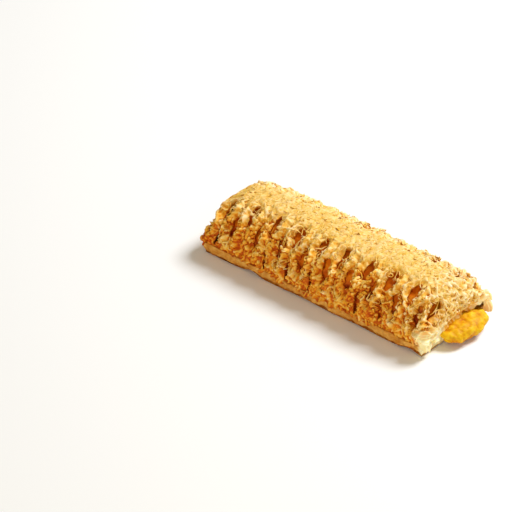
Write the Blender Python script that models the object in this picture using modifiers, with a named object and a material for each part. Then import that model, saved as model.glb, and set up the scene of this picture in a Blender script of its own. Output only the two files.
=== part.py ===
"""A baked cheese lattice pastry: a puff pastry base, a cheese filling that has run out at one end, and a slit
lattice sheet of puff pastry puffed up over it. Metres, +X along the pastry, +Z up, origin under its middle."""

import math

import bmesh
import bpy
import numpy as np
from mathutils import Vector, noise

# Driving dimensions
LENGTH = 0.150
WIDTH = 0.054
HEIGHT = 0.0330
BASE_THICKNESS = 0.0060
SHEET_THICKNESS = 0.0026
SHEET_INSET = 0.0010
GAP = 0.0003

# Form of the puffed sheet
CROSS_POWER = 2.35
END_POWER = 6.5
RIM_Z = BASE_THICKNESS + GAP
RISE = HEIGHT - RIM_Z
END_OVERHANG = 0.0050
CORNER_REACH = 0.014
# How far each corner is drawn out and up, by the signs of x and y: two opposite ones are pinched
CORNER_PULLS = {
    (1, 1): (0.0045, 0.0050),
    (1, -1): (0.0010, 0.0015),
    (-1, 1): (0.0010, 0.0),
    (-1, -1): (0.0055, 0.0),
}

# Lattice of slits: they run across the pastry, in rows that are half a pitch out of step
SLIT_PITCH = 0.0164
CELLS_PER_PITCH = 6
CELL = SLIT_PITCH / CELLS_PER_PITCH
ROW_PITCH = 0.0096
ROW_CELLS = 3
SLIT_CELLS = 4
ROW_PHASES = (-2, 1)
END_MARGIN = 0.012
CORNER_MARGIN = 0.022
ROW_OPENINGS = (0.0018, 0.0030, 0.0048, 0.0010, 0.0009, 0.0042, 0.0030, 0.0018)
SLIT_UNEVEN = 0.45
UNEVEN_SIZE = 0.013

# Relief of the baked dough
STRAND_PUFF = 0.0020
SLIT_DIP = 0.0013
PUFF_REACH = 0.0032
CRAG_SIZE = 0.0045
CRAG_DEPTH = 0.0010
WANDER_SIZE = 0.016
WANDER = 0.0011

# Cheese that ran out past the +X end
BULGE_Y = 0.0050
BULGE_Z = 0.0056
BULGE_RADII = (0.0125, 0.0165, 0.0050)
BULGE_POWER = 2.6
BULGE_CLEARANCE = 0.0011
BULGE_LUMP = 0.0009
CHEESE_LUMP_SIZE = 0.0060
FILLING_DEPTH = SHEET_THICKNESS + SLIT_DIP + CRAG_DEPTH + 0.0006
FILLING_CELL = 0.0050

# Base sheet
BASE_CUTS = (33, 9, 3)
EDGE_WAVE = 0.0006
EDGE_CURL = 0.0012
EDGE_CURL_REACH = 0.005

SEED_OFFSET = Vector((3.1, 7.7, 1.9))


def value_noise(x, y, z, size):
    """Smooth noise from about -1 to 1 whose lumps are this large."""
    return noise.noise(Vector((x, y, z)) / size + SEED_OFFSET)


def smoothstep(low, high, value):
    share = min(1.0, max(0.0, (value - low) / (high - low)))
    return share * share * (3.0 - 2.0 * share)


class Profile:
    """Half a superellipse from rim to rim, read by the distance walked along it."""

    STEPS = 2000

    def __init__(self, half_span, rise, power):
        angles = np.linspace(math.pi, 0.0, self.STEPS)
        self.across = half_span * np.sign(np.cos(angles)) * np.abs(np.cos(angles)) ** (2 / power)
        self.share = np.abs(np.sin(angles)) ** (2 / power)
        steps = np.hypot(np.diff(self.across), np.diff(self.share * rise))
        self.walked = np.concatenate([[0.0], np.cumsum(steps)])
        self.length = float(self.walked[-1])

    def at(self, distance):
        """The position across and the share of the full rise, at this distance from the middle."""
        walked = distance + self.length / 2
        return (
            float(np.interp(walked, self.walked, self.across)),
            float(np.interp(walked, self.walked, self.share)),
        )


ALONG = Profile(LENGTH / 2, RISE, END_POWER)
ACROSS = Profile(WIDTH / 2 - SHEET_INSET, RISE, CROSS_POWER)


def bulge_lift(y):
    """How far the cheese lifts the sheet's rim at the +X end."""
    reach = 1.0 - abs((y - BULGE_Y) / (BULGE_RADII[1] + BULGE_CLEARANCE)) ** BULGE_POWER
    if reach <= 0.0:
        return 0.0
    return max(0.0, BULGE_Z + BULGE_RADII[2] * reach ** (1 / BULGE_POWER) + BULGE_CLEARANCE - RIM_Z)


def corner_flare(x, y):
    """How far the corners move out and up."""
    pull = 1.0 - smoothstep(0.0, CORNER_REACH, math.hypot(LENGTH / 2 - abs(x), WIDTH / 2 - abs(y)))
    flare, lift = CORNER_PULLS[1 if x > 0.0 else -1, 1 if y > 0.0 else -1]
    return Vector((math.copysign(flare, x), 0.0, lift)) * pull


def sheet_point(s, t):
    """The smooth pillow that the lattice lies on, at distances s along and t across from the crown."""
    x, along = ALONG.at(s)
    y, across = ACROSS.at(t)
    z = RIM_Z + RISE * along * across
    if x > 0.0:
        z += bulge_lift(y) * (1.0 - along) ** 2
    else:
        x -= END_OVERHANG * 4 * along * (1.0 - along) * across
    low = 1.0 - smoothstep(0.0, 0.45, along * across)
    return Vector((x, y, z)) + corner_flare(x, y) * low


def sheet_normal(s, t):
    step = CELL / 4
    along = sheet_point(s + step, t) - sheet_point(s - step, t)
    across = sheet_point(s, t + step) - sheet_point(s, t - step)
    return along.cross(across).normalized()


def even_count(length, cell):
    """An even number of cells, so that one line of points lies on the middle."""
    return 2 * round(length / cell / 2)


def slit_list(columns, rows):
    """Each slit as its column, its first and last row of points, and how far it opens."""
    found = []
    for index, opening in enumerate(ROW_OPENINGS):
        centre = rows / 2 + (index - (len(ROW_OPENINGS) - 1) / 2) * ROW_CELLS
        first = round(centre - SLIT_CELLS / 2)
        start = (columns // 2 + ROW_PHASES[index % 2]) % CELLS_PER_PITCH
        margin = CORNER_MARGIN if index in (0, len(ROW_OPENINGS) - 1) else END_MARGIN
        for column in range(start, columns, CELLS_PER_PITCH):
            s = (column - columns / 2) * ALONG.length / columns
            if abs(s) > ALONG.length / 2 - margin:
                continue
            uneven = 1.0 + SLIT_UNEVEN * value_noise(s, index * ROW_PITCH, 0.0, UNEVEN_SIZE)
            found.append((column, first, first + SLIT_CELLS, opening * uneven))
    return found


def cut_slits(mesh, slits, column_of, row_of):
    """Parts the sheet along each slit, so that its two lips can be moved apart."""
    wanted = {(column, row): None for column, first, last, _ in slits for row in range(first, last)}
    cuts = []
    for edge in mesh.edges:
        a, b = edge.verts
        column = column_of(a)
        if column == column_of(b) and (column, min(row_of(a), row_of(b))) in wanted:
            cuts.append(edge)
    bmesh.ops.split_edges(mesh, edges=cuts)


def lip_shift(s, t, side, slits, to_s, to_t):
    """How far a point moves along the pastry when the slits beside it open."""
    shift = 0.0
    for column, first, last, opening in slits:
        middle, half = (to_t(first) + to_t(last)) / 2, (to_t(last) - to_t(first)) / 2
        share = abs(t - middle) / half
        away = s - to_s(column)
        if share >= 1.0 or abs(away) > SLIT_PITCH / 2:
            continue
        width = opening / 2 * (1.0 - share * share) ** 0.6
        direction = side if abs(away) < CELL / 10 else math.copysign(1.0, away)
        shift += direction * width * (1.0 - abs(away) / (SLIT_PITCH / 2))
    return shift


def slit_distance(s, t, slits, to_s, to_t):
    """Distance in the sheet to the nearest slit."""
    return min(
        math.hypot(s - to_s(column), max(0.0, to_t(first) - t, t - to_t(last)))
        for column, first, last, _ in slits
    )


def relief(point, to_slit):
    """How far the baked dough stands out: strands puff up between slits and dip beside them."""
    puff = STRAND_PUFF - (STRAND_PUFF + SLIT_DIP) * math.exp(-((to_slit / PUFF_REACH) ** 2))
    crags = CRAG_DEPTH * value_noise(*point, CRAG_SIZE)
    return puff + crags


def build_lattice():
    columns = even_count(ALONG.length, CELL)
    # An odd number of rows puts the rows of slits evenly about the crown
    rows = even_count(ACROSS.length, ROW_PITCH / ROW_CELLS) - 1
    slits = slit_list(columns, rows)
    mesh = bmesh.new()
    bmesh.ops.create_grid(mesh, x_segments=columns, y_segments=rows, size=0.5)

    def column_of(vertex):
        return round((vertex.co.x + 0.5) * columns)

    def row_of(vertex):
        return round((vertex.co.y + 0.5) * rows)

    def to_s(column):
        return (column / columns - 0.5) * ALONG.length

    def to_t(row):
        return (row / rows - 0.5) * ACROSS.length

    cut_slits(mesh, slits, column_of, row_of)
    placed = {}
    for vertex in mesh.verts:
        faces_x = sum(f.calc_center_median().x for f in vertex.link_faces) / len(vertex.link_faces)
        side = math.copysign(1.0, faces_x - vertex.co.x)
        s, t = to_s(column_of(vertex)), to_t(row_of(vertex))
        on_edge = row_of(vertex) in (0, rows) or column_of(vertex) in (0, columns)
        nominal = sheet_point(s, t)
        wander = 0.0 if on_edge else WANDER * value_noise(*nominal, WANDER_SIZE)
        moved = s + wander + lip_shift(s, t, side, slits, to_s, to_t)
        point = sheet_point(moved, t)
        rise = relief(point, slit_distance(s, t, slits, to_s, to_t))
        # The rim stays flat on the base, and the relief grows from it, dips later than swellings
        free = smoothstep(0.0, 2.5 * CELL, min(ALONG.length / 2 - abs(s), ACROSS.length / 2 - abs(t)))
        free = free if rise > 0.0 else free**3
        placed[vertex] = point + sheet_normal(moved, t) * rise * free
    for vertex, point in placed.items():
        vertex.co = point
    lattice = new_object("lattice_top", mesh, CRUST)
    shell = lattice.modifiers.new("Thickness", "SOLIDIFY")
    shell.thickness = SHEET_THICKNESS
    shell.offset = -1.0
    return lattice


def build_filling():
    """The cheese under the lattice, and the lump that ran out over the +X end of the base."""
    mesh = bmesh.new()
    columns, rows = even_count(ALONG.length, FILLING_CELL), even_count(ACROSS.length, FILLING_CELL)
    bmesh.ops.create_grid(mesh, x_segments=columns, y_segments=rows, size=0.5)
    scale = [1.0 - 2 * FILLING_DEPTH / WIDTH, 1.0 - 2 * FILLING_DEPTH / LENGTH]
    for vertex in mesh.verts:
        x, along = ALONG.at(vertex.co.x * ALONG.length)
        y, across = ACROSS.at(vertex.co.y * ACROSS.length)
        lump = 0.5 * BULGE_LUMP * value_noise(x, y, 0.0, CHEESE_LUMP_SIZE) * along * across
        height = (RISE - FILLING_DEPTH) * along * across
        vertex.co = Vector((x * scale[1], y * scale[0], RIM_Z + height + lump))
    rim = [edge for edge in mesh.edges if edge.is_boundary]
    bmesh.ops.holes_fill(mesh, edges=rim, sides=0)
    bmesh.ops.recalc_face_normals(mesh, faces=mesh.faces)
    filling = new_object("cheese_filling", mesh, CHEESE)

    bulge = build_bulge()
    cutter = build_base_cutter()
    apply_boolean(bulge, cutter, "DIFFERENCE")
    apply_boolean(filling, bulge, "UNION")
    return filling


def build_bulge():
    mesh = bmesh.new()
    bmesh.ops.create_uvsphere(mesh, u_segments=32, v_segments=18, radius=1.0)
    for vertex in mesh.verts:
        squared = (math.copysign(abs(share) ** (2 / BULGE_POWER), share) for share in vertex.co)
        x, y, z = (share * radius for share, radius in zip(squared, BULGE_RADII))
        lump = 1.0 + BULGE_LUMP / BULGE_RADII[2] * value_noise(x, y, z, CHEESE_LUMP_SIZE)
        vertex.co = Vector((x * lump + LENGTH / 2, y * lump + BULGE_Y, z + BULGE_Z))
    return new_object("bulge", mesh, CHEESE)


def build_base_cutter():
    """The space of the base under the cheese, so that the cheese droops just past its end."""
    mesh = bmesh.new()
    bmesh.ops.create_cube(mesh, size=1.0)
    top = RIM_Z + GAP
    end = LENGTH / 2 + EDGE_WAVE + 2 * GAP
    for vertex in mesh.verts:
        vertex.co.x = end if vertex.co.x > 0 else 0.0
        vertex.co.y *= 2 * WIDTH
        vertex.co.z = top if vertex.co.z > 0 else -HEIGHT
    return new_object("base_space", mesh, CHEESE)


def build_base():
    """The base sheet: a slab with a wavy edge, whose underside curls up a little at the rim."""
    mesh = bmesh.new()
    bmesh.ops.create_cube(mesh, size=1.0)
    for axis, cuts in enumerate(BASE_CUTS):
        lines = [
            edge
            for edge in mesh.edges
            if abs((edge.verts[0].co - edge.verts[1].co)[axis]) > 0.5
        ]
        bmesh.ops.subdivide_edges(mesh, edges=lines, cuts=cuts, use_grid_fill=True)
    half = Vector((LENGTH / 2, WIDTH / 2, BASE_THICKNESS))
    for vertex in mesh.verts:
        across_x, across_y, up = vertex.co.x * 2, vertex.co.y * 2, vertex.co.z + 0.5
        x, y = across_x * half.x, across_y * half.y
        wave = EDGE_WAVE * value_noise(x, y, 0.0, 0.011)
        round_in = 0.0007 * (2 * up - 1) ** 2
        x -= math.copysign(round_in - wave, x) * (abs(across_x) > 0.99)
        y -= math.copysign(round_in - wave, y) * (abs(across_y) > 0.99)
        inside = min(half.x - abs(x), half.y - abs(y))
        curl = EDGE_CURL * max(0.0, value_noise(x, y, 0.5, 0.02)) * (1 - smoothstep(0, EDGE_CURL_REACH, inside))
        # The cheese lies against the +X end, so only the -X corners are drawn out with the sheet above
        flare = corner_flare(x, y).x if x < 0.0 else 0.0
        vertex.co = Vector((x + flare, y, up * half.z + curl * (1 - up)))
    return new_object("base_sheet", mesh, BASE)


def apply_boolean(target, other, operation):
    """Cuts or joins one mesh with another, and removes the other."""
    modifier = target.modifiers.new(operation.title(), "BOOLEAN")
    modifier.operation = operation
    modifier.solver = "EXACT"
    modifier.object = other
    graph = bpy.context.evaluated_depsgraph_get()
    graph.update()
    made = bpy.data.meshes.new_from_object(target.evaluated_get(graph))
    target.modifiers.clear()
    old = target.data
    target.data = made
    bpy.data.meshes.remove(old)
    bpy.data.objects.remove(other)


def new_material(name, colour, roughness):
    material = bpy.data.materials.new(name)
    material.use_nodes = True
    shader = material.node_tree.nodes["Principled BSDF"]
    shader.inputs["Base Color"].default_value = (*colour, 1.0)
    shader.inputs["Roughness"].default_value = roughness
    shader.inputs["Metallic"].default_value = 0.0
    return material


def new_object(name, mesh, material):
    data = bpy.data.meshes.new(name)
    mesh.to_mesh(data)
    mesh.free()
    data.materials.append(material)
    made = bpy.data.objects.new(name, data)
    COLLECTION.objects.link(made)
    return made


for leftover in list(bpy.data.objects):
    bpy.data.objects.remove(leftover)

COLLECTION = bpy.data.collections.new("cheese_lattice_pastry")
bpy.context.scene.collection.children.link(COLLECTION)
CRUST = new_material("crust", (0.72, 0.38, 0.09), 0.6)
BASE = new_material("base_crust", (0.66, 0.36, 0.12), 0.65)
CHEESE = new_material("cheese", (0.87, 0.46, 0.05), 0.4)

build_base()
build_filling()
build_lattice()
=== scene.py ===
"""The looks of a baked cheese lattice pastry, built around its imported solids.

Metres, +X along the pastry, +Z up. s and t are distances along and across the sheet that the lattice was cut
from, and are 0 on the middle of the crown."""

import math

import bmesh
import bpy
import numpy as np
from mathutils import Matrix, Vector, noise


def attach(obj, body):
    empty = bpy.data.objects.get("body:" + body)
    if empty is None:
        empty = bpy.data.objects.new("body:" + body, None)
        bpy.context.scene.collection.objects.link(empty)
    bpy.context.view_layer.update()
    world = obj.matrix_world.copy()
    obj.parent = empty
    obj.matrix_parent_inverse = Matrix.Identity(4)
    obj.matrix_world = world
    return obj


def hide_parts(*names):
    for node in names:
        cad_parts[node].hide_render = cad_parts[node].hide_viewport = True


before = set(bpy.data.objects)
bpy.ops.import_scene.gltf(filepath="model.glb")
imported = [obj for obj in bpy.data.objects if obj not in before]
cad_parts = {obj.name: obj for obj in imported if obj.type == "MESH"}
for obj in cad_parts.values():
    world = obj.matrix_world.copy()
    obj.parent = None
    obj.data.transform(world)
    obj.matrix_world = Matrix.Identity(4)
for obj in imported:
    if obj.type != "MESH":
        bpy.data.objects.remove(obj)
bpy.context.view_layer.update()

# Form of the pastry, with the same values as its solids
LENGTH = 0.150
WIDTH = 0.054
HEIGHT = 0.0330
BASE_THICKNESS = 0.0060
SHEET_INSET = 0.0010
GAP = 0.0003
CROSS_POWER = 2.35
END_POWER = 6.5
RIM_Z = BASE_THICKNESS + GAP
RISE = HEIGHT - RIM_Z
END_OVERHANG = 0.0050
CORNER_REACH = 0.014
# How far each corner is drawn out and up, by the signs of x and y: two opposite ones are pinched
CORNER_PULLS = {
    (1, 1): (0.0045, 0.0050),
    (1, -1): (0.0010, 0.0015),
    (-1, 1): (0.0010, 0.0),
    (-1, -1): (0.0055, 0.0),
}
SLIT_PITCH = 0.0164
CELLS_PER_PITCH = 6
CELL = SLIT_PITCH / CELLS_PER_PITCH
ROW_PITCH = 0.0096
ROW_CELLS = 3
SLIT_CELLS = 4
ROW_PHASES = (-2, 1)
END_MARGIN = 0.012
CORNER_MARGIN = 0.022
ROW_OPENINGS = (0.0018, 0.0030, 0.0048, 0.0010, 0.0009, 0.0042, 0.0030, 0.0018)
SLIT_UNEVEN = 0.45
UNEVEN_SIZE = 0.013
STRAND_PUFF = 0.0020
SLIT_DIP = 0.0013
PUFF_REACH = 0.0032
CRAG_SIZE = 0.0045
CRAG_DEPTH = 0.0010
WANDER_SIZE = 0.016
WANDER = 0.0011
BULGE_Y = 0.0050
BULGE_Z = 0.0056
BULGE_RADII = (0.0125, 0.0165, 0.0050)
BULGE_POWER = 2.6
BULGE_CLEARANCE = 0.0011
EDGE_WAVE = 0.0006
SEED_OFFSET = np.array((3.1, 7.7, 1.9))
SEED_STRIDE = np.array((1.0, 2.3, 3.7))
NOISE_SEED = 1

# Fine grid of the crust: this many points for each cell of the solids' grid
FINE_ALONG = 6
FINE_ACROSS = 6
# A slit opens to a lens this blunt, and one that would open less than this baked shut
LENS_POWER = 0.45
BAKED_SHUT = 0.0012
# How far the slits of the three front rows opened, against the solids: by row, from the -X end
FRONT_SHARES = (
    (1.0, 0.0, 0.9, 1.5, 0.8, 0.0, 1.3, 1.2, 0.0),
    (0.8, 1.3, 1.0, 1.3, 0.9, 1.7, 1.3, 1.1, 1.4, 1.2),
    (1.0, 0.8, 0.8, 1.2, 0.9, 1.0, 1.1, 1.2, 1.2, 1.5),
)
# The same for the row just behind the crown, and for all the other rows
CREST_ROW = 5
CREST_SHARE = 0.36
BACK_SHARE = 0.6

# Where the crown lies smooth, and where the top is paler, partly baked paler and partly painted light where
# the key light falls
CROWN_T = 0.001
CROWN_REACH = 0.0125
LIGHT_T = 0.002
LIGHT_REACH = 0.0235
# From the first to the second x, the crust turns down at the +X end and is rough again
END_TURN = (0.058, 0.069)
END_ROUGHNESS = 0.7

# Relief of the crust: height and size of each kind
FLANK_PUFF = 0.0005
WARP = 0.0009
WARP_SIZE = 0.0040
LUMP_HEIGHT = 0.00055
LUMP_SIZE = 0.0048
CRUMB_HEIGHT = 0.00105
CRUMB_SPACING = 0.0024
CREASE_DEPTH = 0.00045
CREASE_WIDTH = 0.22
WEB_HEIGHT = 0.00165
WEB_SIZE = 0.0034
WEB_WIDTH = 0.26
THIN_HEIGHT = 0.00050
THIN_SIZE = 0.0019
THIN_WIDTH = 0.30
LAYER_HEIGHT = 0.00030
LAYER_LINES = 7.0
SWIRL_SIZE = 0.0100
RIPPLE = 0.10
RIPPLE_SIZE = 0.0032
# How far the relief sinks back, so that it lies about the solids' surface
ROUGH_SINK = 0.00065
CROWN_SINK = 0.00075
# From the first to the second distance from the crown, the flanks broke up more
BROKEN_T = (0.016, 0.024)
BROKEN_MORE = 0.45
# Patches of web and of crumbs, and the x range over which the web takes over at the +X end
PATCH_SIZE = 0.013
PATCH_RANGE = (-0.12, 0.22)
WEB_END = (0.046, 0.060)

# Tones: 0 is the brownest and 1 the palest
PLAIN_TONE = 0.45
LIGHT_TONE = 0.22
# The -X end, turned away from the key light, is darker: partly browner dough, partly painted shade
BROWN_AND_SHADED_END_TONE = 0.05
BROWN_AND_SHADED_END_X = (-0.078, -0.062)
# Beside the slits the crust is painted darker, as painted shade: by how much, and how far that reaches
SLIT_SHADE_TONE = 0.03
SLIT_TONE_REACH = 0.0016
# Faces turned this way, towards the key light, are painted paler and those turned away darker, as painted
# light and shade, and by how much that changes the tone
KEY_LIGHT_SIDE = np.array((0.2, 0.6, 0.77))
FACING_MIDDLE = 0.6
LIT_SIDE_TONE = 0.19
# The cut corners of the +X end stayed pale: where they start and are full, by x, z and distance from this y
CUT_X = (0.0668, 0.0745)
CUT_Z = (0.012, 0.018)
CUT_Y = (0.010, 0.017)
CUT_MIDDLE_Y = 0.002
CUT_TONE = 0.10
CUT_STRIPES = 0.12
CUT_STRIPE_SIZE = 0.0012
CUT_CALM = 0.45

# The cut edges of the open slits: how ragged, and depth, undercut and tone of each ring down their walls,
# which are painted darker the deeper they go, as painted shade
LIP_RAGGED = 0.0017
LIP_RAGGED_SIZE = 0.0030
LIP_RAGGED_REACH = 0.0022
LIP_CALM_T = (0.016, 0.022)
LIP_LAYER = 0.00022
LIP_LAYER_SIZE = 0.0016
LIP_DEPTHS = (0.0004, 0.0010, 0.0018, 0.0032)
LIP_UNDERCUTS = (0.0001, 0.0001, 0.0005, 0.0014)
LIP_TONES = (0.02, -0.02, -0.08, -0.16)
# The crust's edge over the base: how far out and down each ring goes, and its uneven seam
SKIRT_STEPS = ((0.0008, 0.0004), (0.0014, 0.0010), (0.0015, 0.0017), (0.0002, 0.0019))
SKIRT_TONE = 0.15
SEAM_RANGE = (0.1, 2.6)
SEAM_END_X = (-0.072, -0.055)
SEAM_END_MORE = 0.2

# Thin threads and wider flakes of dough: each point of their sections is across and up, in widths
THREAD_SECTION = ((-0.5, -0.1), (0.0, -0.3), (0.5, -0.1), (0.3, 0.45), (-0.3, 0.45))
FLAKE_SECTION = ((-0.5, 0.10), (0.0, -0.02), (0.5, 0.10), (0.45, 0.22), (0.0, 0.12), (-0.45, 0.22))
THREADS = {
    "name": "dough_threads",
    "count": 1900,
    "seed": 11,
    "rings": 9,
    "section": np.array(THREAD_SECTION),
    "lengths": (0.0035, 0.0105),
    "widths": (0.0004, 0.0010),
    "flatness": 0.5,
    "lift": -0.00013,
    "arches": (-0.0001, 0.0003),
    "roll": 0.15,
    "spread": 0.45,
}
FLAKES = {
    "name": "crust_flakes",
    "count": 400,
    "seed": 12,
    "rings": 6,
    "section": np.array(FLAKE_SECTION),
    "lengths": (0.0020, 0.0050),
    "widths": (0.0010, 0.0022),
    "flatness": 0.6,
    "lift": -0.00008,
    "arches": (0.0000, 0.0003),
    "roll": 0.25,
    "spread": 0.9,
}
STRIP_MARGIN = 0.010
STRIP_INSIDE = 0.002
STRIP_BEND = 0.20
STRIP_WAVE = 0.30
FLANK_CURL = 1.2
# This share of the strips on the front may cross a slit, except at the -X end
CROSSING_SHARE = 0.16
CROSSING_FROM_S = -0.060
STRIP_TONE = 0.08
TONE_SPREAD = 0.04
TONE_UNDER = 0.80

CRUMB_COUNT = 1150
CRUMB_SEED = 13
CRUMB_SIZES = (0.0011, 0.0029)
CRUMB_STRETCH = (0.55, 1.45)
CRUMB_SINK = 0.32
CRUMB_DENT = 0.00060
CRUMB_DENT_SIZE = 0.0014
CRUMB_CLEAR = 0.0013
CRUMB_END_X = 0.0725
CRUMB_FLANK_T = (0.013, 0.020)

BASE_CELLS = (300, 100, 14)
# Where the front edge of the base lifts: x, height and reach
LIFTED_EDGES = (
    (-0.0455, 0.0022, 0.0050),
    (0.0665, 0.0016, 0.0060),
    (-0.010, 0.0007, 0.012),
    (0.030, 0.0006, 0.010),
)
BASE_LAYER = 0.00007
BASE_LAYER_SIZE = 0.0013
BASE_END_LAYERS = 2.2
BASE_ROUND_IN = 0.0011
BASE_TOP_ROUND_IN = 0.0002
BASE_TONE = 0.42
BASE_LAYER_TONE = 600
BASE_UNDER_TONE = 0.30
BASE_FACE_TONE = 0.12
BASE_PALE_TONE = 0.24
# Towards the back, from the first to the second y, the end's paleness fades, as painted shade
BASE_PALE_Y = (0.012, 0.018)

CHEESE_VOXEL = 0.00062
CORE_DEPTH = 0.0032
CORE_CELLS = (76, 36)
LUMP_RINGS = 40
LUMP_SPOKES = 64
CHEESE_TONE = 0.50

# Hidden places are painted darker, as painted shade: how far away their cover may be, and how open a place
# is that isn't hidden
CREVICE_REACH = 0.0065
OPEN_ENOUGH = 0.58
SPECULAR = 0.16
SCATTER_RADIUS = (1.0, 0.45, 0.12)
SCATTER_SCALE = 0.0022
BUMP_STRENGTH = 0.8

# Colours by tone, as red, green and blue from 0 to 255
CRUST_STOPS = (
    (0.00, (184, 78, 0)),
    (0.16, (210, 108, 4)),
    (0.34, (234, 161, 32)),
    (0.54, (244, 196, 92)),
    (0.76, (250, 217, 154)),
    (1.00, (255, 238, 200)),
)
PALE_STOPS = (
    (0.00, (248, 202, 124)),
    (0.30, (255, 230, 162)),
    (0.60, (255, 244, 192)),
    (1.00, (255, 249, 216)),
)
BASE_STOPS = (
    (0.00, (150, 74, 6)),
    (0.30, (200, 130, 42)),
    (0.55, (226, 170, 80)),
    (0.80, (242, 200, 112)),
    (1.00, (253, 222, 150)),
)
CORE_STOPS = (
    (0.00, (150, 46, 0)),
    (0.40, (208, 102, 4)),
    (0.70, (228, 126, 10)),
    (1.00, (246, 160, 38)),
)
CHEESE_STOPS = (
    (0.00, (178, 84, 0)),
    (0.28, (204, 132, 2)),
    (0.52, (222, 168, 10)),
    (0.76, (234, 196, 34)),
    (1.00, (244, 214, 88)),
)

FLOOR_REACH = 4.0
FLOOR_DROP = 0.0001
FLOOR_COLOUR = (0.92, 0.935, 0.955, 1.0)
FLOOR_ROUGHNESS = 0.7
KEY_LIGHT = {"place": (0.30, 0.85, 1.05), "size": 0.55, "power": 21.2, "colour": (0.95, 0.97, 1.0)}
FILL_LIGHT = {"place": (0.70, -1.30, 0.44), "size": 1.0, "power": 8.8, "colour": (1.0, 0.93, 0.75)}
STUDIO_COLOUR = (1.0, 0.87, 0.66, 1.0)
STUDIO_STRENGTH = 0.35

# The photograph's view
VIEW_AZIMUTH = 40.2
VIEW_ELEVATION = 34.5
LENS_MM = 250.0
SENSOR_MM = 36.0
FRAME_PX = 512
PX_PER_M = 1835.7
REFERENCE = Vector((0.0, 0.0, 0.015))
REFERENCE_PX = (346.5, 261.0)

# Without a seed, vector noise would differ in each run
noise.seed_set(NOISE_SEED)


def noise_at(points, size, seed=0.0):
    """Smooth noise from about -1 to 1 at each point, whose lumps are this large."""
    shift = SEED_OFFSET + seed * SEED_STRIDE
    return np.array([noise.noise(p) for p in (points / size + shift).tolist()])


def vector_noise_at(points, size, seed=0.0):
    """Three such noises at each point, for moving it."""
    shift = SEED_OFFSET + seed * SEED_STRIDE
    return np.array([noise.noise_vector(p)[:] for p in (points / size + shift).tolist()])


def smoothstep(low, high, value):
    """0 up to low, 1 from high on, and a smooth rise between them."""
    share = np.clip((value - low) / (high - low), 0.0, 1.0)
    return share * share * (3.0 - 2.0 * share)


def ridge(value, width):
    """1 on the lines where the noise crosses zero, and 0 this far from zero."""
    return np.clip(1.0 - np.abs(value) / width, 0.0, 1.0)


class Profile:
    """Half a superellipse from rim to rim, read by the distance walked along it."""

    STEPS = 2000

    def __init__(self, half_span, rise, power):
        angles = np.linspace(math.pi, 0.0, self.STEPS)
        self.across = half_span * np.sign(np.cos(angles)) * np.abs(np.cos(angles)) ** (2 / power)
        self.share = np.abs(np.sin(angles)) ** (2 / power)
        steps = np.hypot(np.diff(self.across), np.diff(self.share * rise))
        self.walked = np.concatenate([[0.0], np.cumsum(steps)])
        self.length = float(self.walked[-1])

    def at(self, distance):
        """Place across and share of the rise, at this distance from the middle."""
        walked = distance + self.length / 2
        return np.interp(walked, self.walked, self.across), np.interp(walked, self.walked, self.share)


ALONG = Profile(LENGTH / 2, RISE, END_POWER)
ACROSS = Profile(WIDTH / 2 - SHEET_INSET, RISE, CROSS_POWER)
COLUMNS = 2 * round(ALONG.length / CELL / 2)
ROWS = 2 * round(ACROSS.length / (ROW_PITCH / ROW_CELLS) / 2) - 1


def sheet_point(s, t):
    """The smooth pillow that the lattice lies on, at distances s along and t across from the crown."""
    x, along = ALONG.at(s)
    y, across = ACROSS.at(t)
    beside = np.abs((y - BULGE_Y) / (BULGE_RADII[1] + BULGE_CLEARANCE))
    reach = np.clip(1.0 - beside**BULGE_POWER, 0.0, 1.0) ** (1 / BULGE_POWER)
    lift = np.maximum(0.0, BULGE_Z + BULGE_RADII[2] * reach + BULGE_CLEARANCE - RIM_Z) * (reach > 0)
    z = RIM_Z + RISE * along * across + np.where(x > 0, lift * (1.0 - along) ** 2, 0.0)
    x = x - np.where(x > 0, 0.0, END_OVERHANG * 4 * along * (1.0 - along) * across)
    outward, upward = corner_flare(x, y)
    low = 1.0 - smoothstep(0.0, 0.45, along * across)
    return np.stack([x + outward * low, y, z + upward * low], axis=-1)


def corner_flare(x, y):
    """How far the corners move out and up."""
    pull = 1.0 - smoothstep(0.0, CORNER_REACH, np.hypot(LENGTH / 2 - np.abs(x), WIDTH / 2 - np.abs(y)))
    outward, upward = np.zeros_like(x), np.zeros_like(x)
    for (side_x, side_y), (flare, lift) in CORNER_PULLS.items():
        here = pull * ((x > 0) == (side_x > 0)) * ((y > 0) == (side_y > 0))
        outward += side_x * flare * here
        upward += lift * here
    return outward, upward


def unit(vectors):
    """The same directions with length 1."""
    return vectors / np.maximum(np.linalg.norm(vectors, axis=-1, keepdims=True), 1e-12)


def sheet_frame(s, t):
    """Point, direction along the pastry and outward normal of the smooth pillow."""
    step = CELL / 4
    along = sheet_point(s + step, t) - sheet_point(s - step, t)
    across = sheet_point(s, t + step) - sheet_point(s, t - step)
    return sheet_point(s, t), unit(along), unit(np.cross(along, across))


def slit_share(row, place):
    """How far a slit opened, against the solids."""
    if row < len(FRONT_SHARES):
        return FRONT_SHARES[row][place]
    return CREST_SHARE if row == CREST_ROW else BACK_SHARE


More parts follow.
